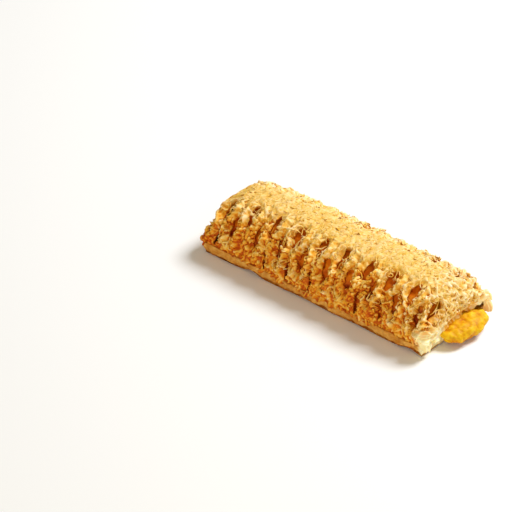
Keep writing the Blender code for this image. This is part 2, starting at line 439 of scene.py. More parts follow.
def slit_list():
    """Each slit as its column, its first and last line in the solids' grid, and how far it opens."""
    found = []
    for index, opening in enumerate(ROW_OPENINGS):
        centre = ROWS / 2 + (index - (len(ROW_OPENINGS) - 1) / 2) * ROW_CELLS
        first = round(centre - SLIT_CELLS / 2)
        start = (COLUMNS // 2 + ROW_PHASES[index % 2]) % CELLS_PER_PITCH
        margin = CORNER_MARGIN if index in (0, len(ROW_OPENINGS) - 1) else END_MARGIN
        place = 0
        for column in range(start, COLUMNS, CELLS_PER_PITCH):
            s = (column - COLUMNS / 2) * ALONG.length / COLUMNS
            if abs(s) > ALONG.length / 2 - margin:
                continue
            spot = Vector((s, index * ROW_PITCH, 0.0)) / UNEVEN_SIZE + Vector(SEED_OFFSET)
            uneven = 1.0 + SLIT_UNEVEN * noise.noise(spot)
            opened = opening * uneven * slit_share(index, place)
            found.append((column, first, first + SLIT_CELLS, opened))
            place += 1
    return found


def is_open(slit):
    """False for a slit that baked shut, which is only a groove in the surface."""
    return slit[3] > BAKED_SHUT


SLITS = slit_list()


def slit_places():
    """Each slit's place along, its low and high place across, and its opening, in metres."""
    for slit in SLITS:
        column, first, last, opening = slit
        yield (
            (column / COLUMNS - 0.5) * ALONG.length,
            (first / ROWS - 0.5) * ACROSS.length,
            (last / ROWS - 0.5) * ACROSS.length,
            opening if is_open(slit) else 0.0,
        )


def lip_shift(s, t, side):
    """How far each point moves along the pastry when the slits beside it open."""
    shift = np.zeros_like(s)
    for slit_s, low, high, opening in slit_places():
        share = np.abs(t - (low + high) / 2) / ((high - low) / 2)
        away = s - slit_s
        near = (share < 1.0) & (np.abs(away) < SLIT_PITCH / 2)
        width = opening / 2 * np.clip(1.0 - share[near] ** 2, 0.0, 1.0) ** LENS_POWER
        away = away[near]
        direction = np.where(np.abs(away) < CELL / 100, side[near], np.sign(away))
        shift[near] += direction * width * (1.0 - np.abs(away) / (SLIT_PITCH / 2))
    return shift


def slit_distance(s, t):
    """Distance in the sheet to the nearest slit."""
    nearest = np.full_like(s, 1.0)
    for slit_s, low, high, _ in slit_places():
        beyond = np.maximum(0.0, np.maximum(low - t, t - high))
        nearest = np.minimum(nearest, np.hypot(s - slit_s, beyond))
    return nearest


def in_slit(s, t, margin):
    """True where a point is over the open part of a slit, or this close to it."""
    inside = np.zeros(s.shape, bool)
    for slit_s, low, high, opening in slit_places():
        if opening == 0.0:
            continue
        share = np.abs(t - (low + high) / 2) / ((high - low) / 2 + margin)
        width = opening / 2 * np.clip(1.0 - share**2, 0.0, 1.0) ** LENS_POWER + margin
        inside |= (share < 1.0) & (np.abs(s - slit_s) < width)
    return inside


def crown_share(t):
    """1 on the crown, where the slits baked shut, and 0 on the flanks."""
    return np.exp(-(((t - CROWN_T) / CROWN_REACH) ** 4))


def smooth_share(points, t):
    """1 where the layers lie smooth: on the crown, but less where it turns down at the +X end."""
    return crown_share(t) * (1.0 - END_ROUGHNESS * smoothstep(*END_TURN, points[:, 0]))


def coarse_relief(points, t, to_slit):
    """Relief close to the solids' own: strands puff up between slits and dip beside them."""
    flank = 1.0 - crown_share(t)
    puff = STRAND_PUFF + FLANK_PUFF * flank
    dip = (puff + SLIT_DIP) * (0.15 + 0.85 * flank)
    crags = CRAG_DEPTH * (0.35 + 0.65 * flank) * noise_at(points, CRAG_SIZE)
    return puff - dip * np.exp(-((to_slit / PUFF_REACH) ** 2)) + crags


def web_share(points):
    """1 where the dough was drawn out into a web, as at the +X end, and 0 where it broke into crumbs."""
    patches = smoothstep(*PATCH_RANGE, noise_at(points, PATCH_SIZE, 6.0))
    return np.maximum(patches, smoothstep(*WEB_END, points[:, 0]))


def relief_kinds(points, t):
    """How much of each kind of relief is at each point: most go from 0 to 1."""
    warped = points + WARP * vector_noise_at(points, WARP_SIZE, 1.0)
    crown = smooth_share(points, t)
    rough = 1.0 - 0.75 * crown
    broken = 1.0 + BROKEN_MORE * smoothstep(*BROKEN_T, np.abs(t))
    web = web_share(points)
    near, second = cell_distances(warped, CRUMB_SPACING)
    swirl = noise_at(points, SWIRL_SIZE, 7.0) + RIPPLE * noise_at(warped, RIPPLE_SIZE, 8.0)
    return {
        "crown": crown,
        "rough": rough,
        "broken": broken,
        "crumb_part": rough * broken * (1.0 - web),
        "web_part": rough * broken * web,
        "lumps": noise_at(points, LUMP_SIZE, 2.0),
        # Crumbs are rounded cells, with creases where two of them meet
        "crumb": 1.0 - np.clip(near / 0.75, 0.0, 1.0) ** 2,
        "crease": 1.0 - smoothstep(0.0, CREASE_WIDTH, second - near),
        "web_line": ridge(noise_at(warped, WEB_SIZE, 4.0), WEB_WIDTH) ** 0.8,
        "thin_line": ridge(noise_at(warped, THIN_SIZE, 5.0), THIN_WIDTH),
        "layers": 0.5 + 0.5 * np.sin(2 * math.pi * LAYER_LINES * swirl),
    }


def relief_height(kinds):
    """The height in metres of the crumbs, webs, threads and layers."""
    crown, rough = kinds["crown"], kinds["rough"]
    return (
        LUMP_HEIGHT * (1.0 - 0.5 * crown) * kinds["lumps"]
        + kinds["crumb_part"] * (CRUMB_HEIGHT * kinds["crumb"] - CREASE_DEPTH * kinds["crease"])
        + kinds["web_part"] * WEB_HEIGHT * kinds["web_line"]
        + rough * THIN_HEIGHT * kinds["thin_line"]
        + crown * LAYER_HEIGHT * kinds["layers"]
        - ROUGH_SINK * rough * kinds["broken"]
        - CROWN_SINK * crown
    )


def relief_tone(kinds, points, t, to_slit):
    """A tone from about 0, in a brown crevice, to 1, on a pale thread: creases are darker and raised crumbs
    and threads paler, partly browning and partly painted shade and highlight.
    """
    # 1 on the top, which is painted paler, partly as painted light where the key light falls on it
    light = np.exp(-(((t - LIGHT_T) / LIGHT_REACH) ** 4))
    tone = (
        PLAIN_TONE
        + LIGHT_TONE * light
        # Darker towards the -X end: partly browner, partly painted shade
        - BROWN_AND_SHADED_END_TONE * (1.0 - smoothstep(*BROWN_AND_SHADED_END_X, points[:, 0]))
        + kinds["crumb_part"] * (0.22 * (kinds["crumb"] - 0.50) - 0.14 * kinds["crease"])
        + kinds["web_part"] * 0.32 * (kinds["web_line"] - 0.33)
        + kinds["rough"] * 0.24 * (kinds["thin_line"] - 0.25)
        + kinds["crown"] * (0.10 * (kinds["layers"] - 0.5) - 0.06)
        + 0.04 * kinds["lumps"]
    )
    # Painted shade: the tone is darker beside the slits
    return tone - SLIT_SHADE_TONE * np.exp(-((to_slit / SLIT_TONE_REACH) ** 2))


def fine_relief(points, t, to_slit):
    """The flaky surface, as a height in metres and a tone."""
    kinds = relief_kinds(points, t)
    return relief_height(kinds), relief_tone(kinds, points, t, to_slit)


def cell_distances(points, size):
    """Distance to the nearest and the second nearest point of a scatter with this spacing, in spacings."""
    found = [noise.voronoi(p)[0][:2] for p in (points / size + SEED_OFFSET).tolist()]
    return np.array(found).T


def surface(s, t):
    """The baked surface, for pieces that lie on it: points, directions along, normals and tones."""
    points, along, normals = sheet_frame(s, t)
    to_slit = slit_distance(s, t)
    rise = coarse_relief(points, t, to_slit)
    height, tone = fine_relief(points, t, to_slit)
    free = rim_freedom(s, t)
    return points + normals * ((rise + height) * free)[:, None], along, normals, tone


def rim_freedom(s, t):
    """0 at the rim, where the sheet lies flat on the base, and 1 well inside."""
    inside = np.minimum(ALONG.length / 2 - np.abs(s), ACROSS.length / 2 - np.abs(t))
    return smoothstep(0.0, 2.5 * CELL, inside)


def link_object(name, data):
    """Puts a mesh, light or camera into the scene."""
    made = bpy.data.objects.new(name, data)
    bpy.context.scene.collection.objects.link(made)
    return made


def mesh_object(name, points, faces, material, tones, paleness, lit_side_tone=0.0):
    """A smooth mesh whose material reads each point's tone and paleness."""
    data = bpy.data.meshes.new(name)
    data.from_pydata(points.tolist(), [], [face for group in faces for face in group.tolist()])
    data.polygons.foreach_set("use_smooth", np.ones(len(data.polygons), bool))
    data.update()
    normals = np.empty(len(points) * 3)
    data.vertices.foreach_get("normal", normals)
    # Faces turned to the key light are painted paler and faces turned away darker: painted light and shade
    tones = tones + lit_side_tone * (normals.reshape(-1, 3) @ KEY_LIGHT_SIDE - FACING_MIDDLE)
    for label, values in (("tone", tones), ("pale", paleness)):
        layer = data.attributes.new(label, "FLOAT", "POINT")
        layer.data.foreach_set("value", np.asarray(values, np.float32))
    data.materials.append(material)
    data.update()
    return link_object(name, data)


def paleness_at(points):
    """How little the oven browned the dough: the cut corners of the +X end stay pale."""
    end = smoothstep(*CUT_X, points[:, 0]) * (1.0 - smoothstep(*CUT_Z, points[:, 2]))
    corner = smoothstep(*CUT_Y, np.abs(points[:, 1] - CUT_MIDDLE_Y))
    return end * corner * np.clip(0.9 + 0.5 * noise_at(points, 0.006, 20.0), 0.0, 1.0)


def fine_span(slit):
    """A slit's column and its first and last row in the fine grid."""
    column, first, last, _ = slit
    return column * FINE_ALONG, first * FINE_ACROSS, last * FINE_ACROSS


def band(a, b):
    """Quads between two closed rings of points."""
    return np.stack([a, np.roll(a, -1), np.roll(b, -1), b], axis=-1)


class Crust:
    """The crust's fine grid, where each side of an open slit has its own points, and what hangs from it."""

    def __init__(self):
        columns, rows = COLUMNS * FINE_ALONG, ROWS * FINE_ACROSS
        column, row = np.meshgrid(np.arange(columns + 1), np.arange(rows + 1), indexing="ij")
        s = ((column / columns - 0.5) * ALONG.length).ravel()
        t = ((row / rows - 0.5) * ACROSS.length).ravel()
        side = np.zeros_like(s)
        self.left = np.arange(s.size).reshape(columns + 1, rows + 1)
        self.right = self.left.copy()
        self.open_slits = [slit for slit in SLITS if is_open(slit)]
        extra = []
        for slit in self.open_slits:
            c, low, high = fine_span(slit)
            for r in range(low + 1, high):
                side[self.left[c, r]] = -1.0
                self.right[c, r] = s.size + len(extra)
                extra.append(self.left[c, r])
        self.s = np.concatenate([s, s[extra]])
        self.t = np.concatenate([t, t[extra]])
        self.side = np.concatenate([side, np.ones(len(extra))])
        self.place_points()

    def moved(self, to_slit):
        """Each point's place along, once the sheet wandered and its slits opened."""
        s, t, side = self.s, self.t, self.side
        nominal = sheet_point(s, t)
        inside = np.minimum(ALONG.length / 2 - np.abs(s), ACROSS.length / 2 - np.abs(t))
        on_edge = inside < CELL / 100
        wander = np.where(on_edge, 0.0, WANDER * noise_at(nominal, WANDER_SIZE))
        ragged = LIP_RAGGED * noise_at(nominal + side[:, None] * 0.01, LIP_RAGGED_SIZE, 8.0)
        ragged *= 0.5 + 0.5 * smoothstep(*LIP_CALM_T, np.abs(t))
        ragged = ragged * np.exp(-((to_slit / LIP_RAGGED_REACH) ** 2)) * (~on_edge)
        return s + wander + lip_shift(s, t, side) + ragged

    def place_points(self):
        to_slit = slit_distance(self.s, self.t)
        points, self.along, self.normals = sheet_frame(self.moved(to_slit), self.t)
        height, tone = fine_relief(points, self.t, to_slit)
        cut = paleness_at(points)
        stripes = 2 * math.pi * points[:, 2] / CUT_STRIPE_SIZE + 2.0 * noise_at(points, 0.006, 21.0)
        self.tone = tone + CUT_TONE * cut + CUT_STRIPES * cut * np.sin(stripes)
        free = rim_freedom(self.s, self.t)
        rise = coarse_relief(points, self.t, to_slit) * free
        rise = rise + height * (0.35 + 0.65 * free) * (1.0 - CUT_CALM * cut)
        self.placed = points + self.normals * rise[:, None]
        left, right = self.left, self.right
        quads = np.stack([right[:-1, :-1], left[1:, :-1], left[1:, 1:], right[:-1, 1:]], axis=-1)
        self.faces = [quads.reshape(-1, 4)]
        self.places, self.tones = [self.placed], [self.tone]
        self.count = len(self.placed)

    def add_ring(self, places, tones):
        """Adds points, and gives their numbers."""
        self.places.append(places)
        self.tones.append(tones)
        self.count += len(places)
        return np.arange(self.count - len(places), self.count)

    def add_walls(self, slit):
        """The cut walls of an open slit, which go down and back under the crust."""
        c, low, high = fine_span(slit)
        mouth = np.concatenate([self.left[c, low : high + 1], self.right[c, high - 1 : low : -1]])
        outward = np.concatenate([-np.ones(high - low + 1), np.ones(high - low - 1)])
        outward[0] = outward[high - low] = 0.0
        places, along, normals = self.placed[mouth], self.along[mouth], self.normals[mouth]
        tone = np.clip(self.tone[mouth], 0.2, 0.8)
        ring = mouth
        for step, (depth, undercut, tone_step) in enumerate(zip(LIP_DEPTHS, LIP_UNDERCUTS, LIP_TONES)):
            layer = LIP_LAYER * noise_at(places * (1, 1, 3), LIP_LAYER_SIZE, 30.0 + step)
            sideways = (outward * (undercut + layer))[:, None] * along
            # The deeper rings are painted darker: painted shade
            below = self.add_ring(places - normals * depth + sideways, tone + tone_step)
            self.faces.append(band(ring, below))
            ring = below

    def add_skirt(self):
        """The crust's rounded edge, which hangs unevenly over the base."""
        left = self.left
        rim = np.concatenate([left[:-1, 0], left[-1, :-1], left[:0:-1, -1], left[0, :0:-1]])
        places = self.placed[rim]
        inward = unit(-places * (1, 1, 0))
        seam = 1.0 + 1.4 * noise_at(places, 0.0048, 40.0) + 0.7 * noise_at(places, 0.0018, 41.0)
        end = 1.0 - smoothstep(*SEAM_END_X, places[:, 0])
        seam = np.clip(seam, *SEAM_RANGE) * (1.0 + SEAM_END_MORE * end)
        # At the +X corners, whose crust lifts, the edge reaches further down
        lowered = np.clip(places[:, 2] - RIM_Z, 0.0, 0.0030) * (np.abs(places[:, 1] - 0.003) > 0.019)
        lifted = smoothstep(RIM_Z + 0.0005, RIM_Z + 0.003, places[:, 2])
        ring = rim
        for out, drop in SKIRT_STEPS:
            low = places - inward * (out * (0.6 + 0.4 * seam))[:, None]
            low[:, 2] -= drop * seam + drop / SKIRT_STEPS[-1][1] * lowered
            below = self.add_ring(low + inward * (lifted * 0.0004)[:, None], self.tone[rim] - SKIRT_TONE)
            self.faces.append(band(below, ring))
            ring = below


def build_crust(material):
    """The slit sheet, with the walls of its open slits and its edge over the base."""
    crust = Crust()
    for slit in crust.open_slits:
        crust.add_walls(slit)
    crust.add_skirt()
    points = np.concatenate(crust.places)
    tones = np.concatenate(crust.tones)
    pale = paleness_at(points)
    return mesh_object("lattice_crust", points, crust.faces, material, tones, pale, LIT_SIDE_TONE)


def strip_paths(kind, random):
    """Curling paths on the sheet, as s and t of each ring, and how wide each strip is."""
    tries, rings = 3 * kind["count"], kind["rings"]
    s0 = random.uniform(-0.5, 0.5, tries) * (ALONG.length - STRIP_MARGIN)
    t0 = random.uniform(-0.5, 0.5, tries) * (ACROSS.length - STRIP_MARGIN)
    curl = 1.0 + FLANK_CURL * (1.0 - crown_share(t0))
    heading = math.pi / 2 + random.normal(0.0, kind["spread"], tries) * curl
    bend = random.normal(0.0, STRIP_BEND, tries) * curl
    length = random.uniform(*kind["lengths"], tries)
    width = random.uniform(*kind["widths"], tries)
    may_cross = (random.random(tries) < CROSSING_SHARE) & (t0 < 0.0) & (s0 > CROSSING_FROM_S)
    steps = np.arange(rings) - (rings - 1) / 2
    wave = STRIP_WAVE * curl[:, None] * np.sin(steps * 1.7 + heading[:, None] * 9)
    angle = heading[:, None] + bend[:, None] * steps + wave
    ds = np.cos(angle) * length[:, None] / (rings - 1)
    dt = np.sin(angle) * length[:, None] / (rings - 1)
    s = s0[:, None] + np.cumsum(ds, axis=1) - ds.sum(axis=1, keepdims=True) / 2
    t = t0[:, None] + np.cumsum(dt, axis=1) - dt.sum(axis=1, keepdims=True) / 2
    allowed = well_inside(s, t) & (~in_slit(s, t, 0.0002).any(axis=1) | may_cross)
    chance = strip_chance(s[:, rings // 2], t[:, rings // 2])
    kept = np.flatnonzero(allowed & (random.random(tries) < chance))[: kind["count"]]
    return s[kept], t[kept], width[kept]


def well_inside(s, t):
    """True for the paths that stay clear of the sheet's edge."""
    along = np.abs(s).max(axis=1) < ALONG.length / 2 - STRIP_INSIDE
    return along & (np.abs(t).max(axis=1) < ACROSS.length / 2 - STRIP_INSIDE)


def strip_chance(s, t):
    """How likely a strip is: most on the crown and the webs, and none on the pale cut corners."""
    under = sheet_point(s, t)
    return np.maximum(crown_share(t), 0.15 + 0.85 * web_share(under)) * (paleness_at(under) < 0.3)


def strip_spines(s, t, kind, random):
    """Where each ring of a strip is and which way is out there, and the tone of the crust under it."""
    points, _, normals, tone = surface(s.ravel(), t.ravel())
    points, normals = points.reshape(*s.shape, 3), normals.reshape(*s.shape, 3)
    # Lumps under a strip don't bend it as sharply as the crust itself
    points[:, 1:-1] = 0.5 * points[:, 1:-1] + 0.25 * (points[:, 2:] + points[:, :-2])
    share = np.linspace(0.0, 1.0, kind["rings"])
    arch = random.uniform(*kind["arches"], len(s))[:, None]
    lift = kind["lift"] + arch * np.sin(math.pi * share)
    return points + normals * lift[:, :, None], normals, tone


def strip_shapes(points, normals, width, kind, random):
    """The points of each ring's section, swollen in the middle of the strip and turned a little."""
    rings, section = kind["rings"], kind["section"]
    sideways = unit(np.cross(unit(np.gradient(points, axis=1)), normals))
    turned = random.normal(0.0, kind["roll"], len(points))[:, None, None]
    turned = turned + np.linspace(-0.3, 0.3, rings)[None, :, None]
    across = sideways * np.cos(turned) + normals * np.sin(turned)
    up = normals * np.cos(turned) - sideways * np.sin(turned)
    swell = width[:, None] * (0.22 + 0.78 * np.sin(math.pi * np.linspace(0.0, 1.0, rings)) ** 0.7)
    swell = swell[:, :, None, None]
    return (
        points[:, :, None]
        + across[:, :, None] * section[:, 0][:, None] * swell
        + up[:, :, None] * section[:, 1][:, None] * kind["flatness"] * swell
    )


def strip_faces(count, rings, sides):
    """The walls of all the strips as quads, and their two end caps."""
    index = np.arange(count * rings * sides).reshape(count, rings, sides)
    turned = np.roll(index, -1, axis=2)
    walls = np.stack([index[:, :-1], turned[:, :-1], turned[:, 1:], index[:, 1:]], axis=-1)
    return [walls.reshape(-1, 4), index[:, 0, ::-1], index[:, -1]]


def build_strips(kind, material):
    """Curled strips of dough that lie on the crust."""
    random = np.random.default_rng(kind["seed"])
    s, t, width = strip_paths(kind, random)
    points, normals, tone = strip_spines(s, t, kind, random)
    places = strip_shapes(points, normals, width, kind, random).reshape(-1, 3)
    sides = len(kind["section"])
    own_tone = STRIP_TONE + random.normal(0.0, TONE_SPREAD, len(s))
    tones = np.repeat(own_tone, kind["rings"] * sides) + TONE_UNDER * np.repeat(tone, sides)
    faces = strip_faces(len(s), kind["rings"], sides)
    return mesh_object(kind["name"], places, faces, material, tones, paleness_at(places))


def icosphere():
    """The points and triangles of a round form with 42 points."""
    mesh = bmesh.new()
    bmesh.ops.create_icosphere(mesh, subdivisions=2, radius=1.0)
    points = np.array([vertex.co[:] for vertex in mesh.verts])
    faces = np.array([[vertex.index for vertex in face.verts] for face in mesh.faces])
    mesh.free()
    return points, faces


def crumb_chance(s, t):
    """How likely a crumb is: most where the flanks broke up, and none at the end."""
    under = sheet_point(s, t)
    chance = (1.0 - smooth_share(under, t)) * (0.15 + 0.85 * (1.0 - web_share(under)))
    return chance * (under[:, 0] < CRUMB_END_X) * (0.35 + 0.65 * smoothstep(*CRUMB_FLANK_T, np.abs(t)))


def build_crumbs(material):
    """Rounded crumbs of dough, partly sunk in the crust where it broke up."""
    random = np.random.default_rng(CRUMB_SEED)
    tries = 4 * CRUMB_COUNT
    s = random.uniform(-0.5, 0.5, tries) * (ALONG.length - 0.003)
    t = random.uniform(-0.5, 0.5, tries) * (ACROSS.length - 0.0015)
    size = CRUMB_SIZES[0] + (CRUMB_SIZES[1] - CRUMB_SIZES[0]) * random.random(tries) ** 1.5
    wanted = random.random(tries) < crumb_chance(s, t)
    kept = np.flatnonzero(~in_slit(s, t, CRUMB_CLEAR) & wanted)[:CRUMB_COUNT]
    s, t, size = s[kept], t[kept], size[kept]
    places, _, normals, tone = surface(s, t)
    ball, faces = icosphere()
    stretch = random.uniform(*CRUMB_STRETCH, (len(kept), 3))
    shapes = ball[None] * stretch[:, None] * size[:, None, None] / 2
    shapes = shapes + places[:, None] - (normals * (size * CRUMB_SINK)[:, None])[:, None]
    flat = shapes.reshape(-1, 3)
    flat = flat + vector_noise_at(flat, CRUMB_DENT_SIZE, 50.0) * CRUMB_DENT
    index = faces[None] + (np.arange(len(kept)) * len(ball))[:, None, None]
    height = np.tile(ball, (len(kept), 1)) * np.repeat(normals, len(ball), axis=0)
    own = random.normal(-0.02, 0.05, len(kept))
    # Each crumb is painted paler on top and darker low down, where it meets the crust: painted light and
    # shade
    tones = np.repeat(own + tone, len(ball)) + 0.11 * (height.sum(axis=1) - 0.4)
    tones += 0.10 * noise_at(flat, 0.0009, 51.0)
    pale = paleness_at(flat)
    return mesh_object("crust_crumbs", flat, [index.reshape(-1, 3)], material, tones, pale, LIT_SIDE_TONE)


def shell_grid(counts):
    """A box's surface: each point's share of the way along each axis, and its quads, with these cells."""
    size = [count + 1 for count in counts]
    quads = []
    for axis in range(3):
        a, b = [other for other in range(3) if other != axis]
        u, v = np.meshgrid(np.arange(counts[a]), np.arange(counts[b]), indexing="ij")
        for level in (0, counts[axis]):
            corners = []
            for du, dv in ((0, 0), (1, 0), (1, 1), (0, 1)):
                place = [None, None, None]
                place[axis], place[a], place[b] = np.full(u.shape, level), u + du, v + dv
                corners.append(((place[0] * size[1] + place[1]) * size[2] + place[2]).ravel())
            faces_out = (level > 0) != (axis == 1)
            quads.append(np.stack(corners if faces_out else corners[::-1], axis=-1))
    quads = np.concatenate(quads)
    used, packed = np.unique(quads, return_inverse=True)
    steps = (used // (size[1] * size[2]), used // size[2] % size[1], used % size[2])
    return np.stack(steps, axis=-1) / np.array(counts), packed.reshape(quads.shape)


def base_lift(flat, outline, inside):
    """How far the underside lifts near the edge of the base."""
    lift = 0.0012 * np.clip(noise_at(outline + (0, 0, 0.5), 0.02), 0.0, 1.0)
    front = flat[:, 1] < 0
    for x, height, reach in LIFTED_EDGES:
        lift = lift + front * height * np.exp(-(((flat[:, 0] - x) / reach) ** 2))
    return lift * (1.0 - smoothstep(0.0, 0.005, inside))


def base_layers(place):
    """The height of the thin layers that show in the base's sides."""
    wave = 0.9 * noise_at(place * (1, 1, 0.3), 0.010, 9.0)
    return BASE_LAYER * np.sin(2 * math.pi * (place[:, 2] / BASE_LAYER_SIZE + wave))


def side_relief(place, up, fine):
    """How far the sides of the base round in, and their lumps."""
    round_in = BASE_ROUND_IN * (1 - smoothstep(0.0, 0.40, up))
    round_in = round_in + BASE_TOP_ROUND_IN * smoothstep(0.75, 1.0, up)
    lumps = 0.00105 * noise_at(place, 0.0065, 10.0) + 0.00080 * noise_at(place, 0.0026, 11.0)
    lumps = lumps + 0.00030 * fine
    return round_in, lumps


def base_paleness(place, up):
    """How pale the cut end of the base stayed; towards the back, where it lies in shade, it is painted brown
    instead, as painted shade.
    """
    end = (place[:, 0] > LENGTH / 2 - 0.0035) * smoothstep(0.0710, 0.0740, place[:, 0])
    pale = end * np.clip(0.95 + 0.4 * noise_at(place, 0.005, 15.0), 0.0, 1.0)
    pale = pale * (0.5 + 0.5 * smoothstep(0.0, 0.15, up))
    # Painted shade: the paleness fades out towards the back
    return pale * (1.0 - smoothstep(*BASE_PALE_Y, place[:, 1]))


def build_base(material):
    """The base sheet, with thin layers in its sides and an edge that lifts in places."""
    share, quads = shell_grid(BASE_CELLS)
    half = np.array((LENGTH / 2, WIDTH / 2))
    across = share[:, :2] * 2 - 1
    up = share[:, 2]
    flat = across * half
    place = np.column_stack([flat, up * BASE_THICKNESS])
    outline = np.column_stack([flat, np.zeros(len(flat))])
    wave = EDGE_WAVE * noise_at(outline, 0.011)
    layers = base_layers(place)
    fine = noise_at(place, 0.0013, 22.0)
    round_in, lumps = side_relief(place, up, fine)
    flare, _ = corner_flare(flat[:, 0], flat[:, 1])
    place[:, 0] += np.where(flat[:, 0] < 0, flare, 0.0)
    for axis, lines in ((0, BASE_END_LAYERS), (1, 1.0)):
        on_side = np.abs(across[:, axis]) > 0.999
        place[:, axis] += np.sign(across[:, axis]) * on_side * (wave - round_in + lines * layers + lumps)
    inside = np.minimum(half[0] - np.abs(flat[:, 0]), half[1] - np.abs(flat[:, 1]))
    place[:, 2] += base_lift(flat, outline, inside) * (1 - up)
    under = (up < 0.001) & (inside > 0.004)
    place[:, 2] += under * 0.0003 * np.clip(noise_at(place, 0.004, 12.0), 0.0, 1.0)
    near = np.maximum(np.abs(across[:, 0]), np.abs(across[:, 1]))
    tone = BASE_TONE + 0.14 * noise_at(place, 0.008, 13.0) + 0.18 * noise_at(place, 0.0028, 14.0)
    tone = tone + 0.10 * fine + BASE_LAYER_TONE * layers
    tone -= BASE_UNDER_TONE * (1.0 - smoothstep(0.0, 0.40, up)) + BASE_FACE_TONE * (near < 0.99)
    pale = base_paleness(place, up)
    tone += BASE_PALE_TONE * pale
    return mesh_object("base_crust_sheet", place, [quads], material, tone, pale)


def core_form():
    """The cheese inside, up to just under the lattice: points and faces."""
    columns, rows = CORE_CELLS
    s, t = np.meshgrid(
        np.linspace(-0.5, 0.5, columns + 1) * ALONG.length,
        np.linspace(-0.5, 0.5, rows + 1) * ACROSS.length,
        indexing="ij",
    )
    x, along = ALONG.at(s.ravel())
    y, across = ACROSS.at(t.ravel())
    shrink = np.array((1.0 - 2 * CORE_DEPTH / LENGTH, 1.0 - 2 * CORE_DEPTH / WIDTH, 1.0))
    points = np.column_stack([x, y, RIM_Z + (RISE - CORE_DEPTH) * along * across]) * shrink
    index = np.arange(len(points)).reshape(columns + 1, rows + 1)
    quads = np.stack([index[:-1, :-1], index[1:, :-1], index[1:, 1:], index[:-1, 1:]], axis=-1)
    rim = np.concatenate([index[:-1, 0], index[-1, :-1], index[:0:-1, -1], index[0, :0:-1]])
    return points, quads.reshape(-1, 4).tolist() + [rim[::-1].tolist()]


def lump_form():
    """The lump of cheese that ran out at the +X end: points and faces."""
    i, j = np.meshgrid(np.arange(LUMP_RINGS + 1), np.arange(LUMP_SPOKES), indexing="ij")
    a, b = math.pi * i.ravel() / LUMP_RINGS, 2 * math.pi * j.ravel() / LUMP_SPOKES
    lump = np.column_stack([np.sin(a) * np.cos(b), np.sin(a) * np.sin(b), np.cos(a)])
    lump = np.sign(lump) * np.abs(lump) ** (2 / BULGE_POWER)
    swell = 1.0 + 0.10 * noise_at(lump * 0.01, 0.006, 16.0)
    lump = lump * np.array(BULGE_RADII) * swell[:, None] + (LENGTH / 2, BULGE_Y, BULGE_Z)
    # It droops over the end of the base, so the part under the sheet stays above the base
    over_base = lump[:, 0] < LENGTH / 2 + 0.0004
    lump[:, 2] = np.where(over_base, np.maximum(lump[:, 2], BASE_THICKNESS + 0.0002), lump[:, 2])
    lump[:, 2] = np.maximum(lump[:, 2], 0.0006)
    index = np.arange(len(lump)).reshape(LUMP_RINGS + 1, LUMP_SPOKES)
    turned = np.roll(index, -1, axis=1)
    faces = np.stack([index[:-1], index[1:], turned[1:], turned[:-1]], axis=-1)
    return lump, faces.reshape(-1, 4)


def one_skin(points, faces, voxel):
    """Joins overlapping forms into one closed skin: its points, normals and quads."""
    data = bpy.data.meshes.new("cheese_form")
    data.from_pydata([tuple(p) for p in points.tolist()], [], faces)
    data.update()
    form = link_object("cheese_form", data)
    remesh = form.modifiers.new("One skin", "REMESH")
    remesh.mode = "VOXEL"
    remesh.voxel_size = voxel
    remesh.adaptivity = 0.0
    graph = bpy.context.evaluated_depsgraph_get()
    graph.update()
    skin = form.evaluated_get(graph).to_mesh()
    place = np.empty(len(skin.vertices) * 3)
    skin.vertices.foreach_get("co", place)
    normal = np.empty(len(skin.vertices) * 3)
    skin.vertices.foreach_get("normal", normal)
    quads = np.array([polygon.vertices[:] for polygon in skin.polygons])
    bpy.data.objects.remove(form)
    return place.reshape(-1, 3), normal.reshape(-1, 3), quads


def build_cheese(material):
    """The cheese that fills the inside and ran out at the +X end."""
    core, core_faces = core_form()
    lump, lump_faces = lump_form()
    faces = core_faces + (lump_faces + len(core)).tolist()
    place, normal, quads = one_skin(np.concatenate([core, lump]), faces, CHEESE_VOXEL)
    outside = smoothstep(LENGTH / 2 - 0.006, LENGTH / 2 - 0.001, place[:, 0])
    blobs = noise_at(place, 0.0048, 17.0)
    beads = noise_at(place, 0.0022, 18.0)
    grain = noise_at(place, 0.0011, 19.0)
    rise = outside * (0.0007 * blobs + 0.00038 * beads + 0.00030 * grain)
    rise = rise + (1 - outside) * (0.0007 * blobs + 0.0004 * beads)
    above = smoothstep(0.0, 0.002, place[:, 2])
    place = place + normal * (rise * above)[:, None]
    place[:, 2] = np.maximum(place[:, 2], 0.0003)
    tone = CHEESE_TONE + 0.05 * (1.0 - outside) + 0.36 * blobs + 0.16 * beads + 0.20 * grain
    tone -= 0.42 * (1.0 - smoothstep(0.0008, 0.0056, place[:, 2]))
    # The cheese inside is painted darker low down, where the lower slits show it in shade: painted shade
    tone -= 0.55 * (1.0 - outside) * (1.0 - smoothstep(0.013, 0.023, place[:, 2]))
    return mesh_object("cheese_run", place, [quads], material, tone, outside)


def link(tree, source, target):
    tree.links.new(source, target)


def add(tree, kind, **settings):
    """A node with these inputs or properties."""
    node = tree.nodes.new(kind)
    for name, value in settings.items():
        if name in node.inputs:
            node.inputs[name].default_value = value
        else:
            setattr(node, name, value)
    return node


def math_node(tree, operation, a, b):
    """The output of a node that combines two outputs or numbers."""
    node = add(tree, "ShaderNodeMath", operation=operation)
    for socket, value in zip(node.inputs, (a, b)):
        if isinstance(value, float):
            socket.default_value = value
        else:
            link(tree, value, socket)
    return node.outputs[0]


def attribute(tree, name):
    """A value that the mesh has at each point."""
    node = add(tree, "ShaderNodeAttribute", attribute_name=name)
    return node.outputs["Fac"]


